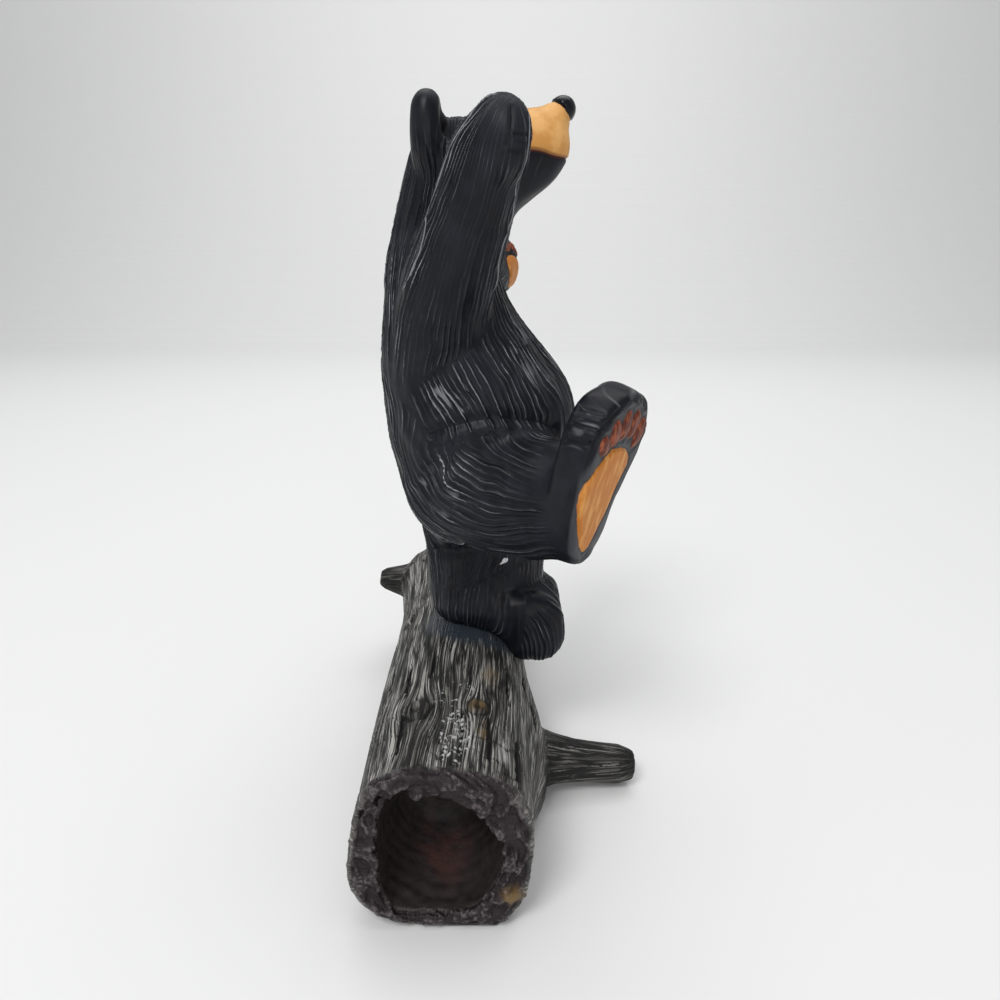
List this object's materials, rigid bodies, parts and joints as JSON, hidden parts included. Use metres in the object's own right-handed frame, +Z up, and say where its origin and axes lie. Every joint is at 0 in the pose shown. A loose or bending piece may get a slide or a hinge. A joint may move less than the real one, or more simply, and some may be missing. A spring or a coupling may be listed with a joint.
{
  "type": "bear figurine",
  "caption": "Cast figurine of a black bear that balances on one leg on a hollow log, with its arms out and one foot raised.",
  "frame": {"origin": "under the middle of the log, on the surface that the figurine stands on", "axes": "+Z up; +X the way the bear faces, which is also the side of the longer branch stub; +Y along the log, to the bear's left"},
  "size_m": [0.0915, 0.158, 0.1992],
  "materials": {
    "black_fur_paint": "cast resin, carved as fur, satin black paint, with tan and red-brown pads and a tan muzzle",
    "weathered_wood_paint": "cast resin, carved as weathered wood, grey-brown paint with pale dry brushing"
  },
  "bodies": {
    "root": {"bear": "black_fur_paint", "hollow_log": "weathered_wood_paint"}
  },
  "joints": []
}
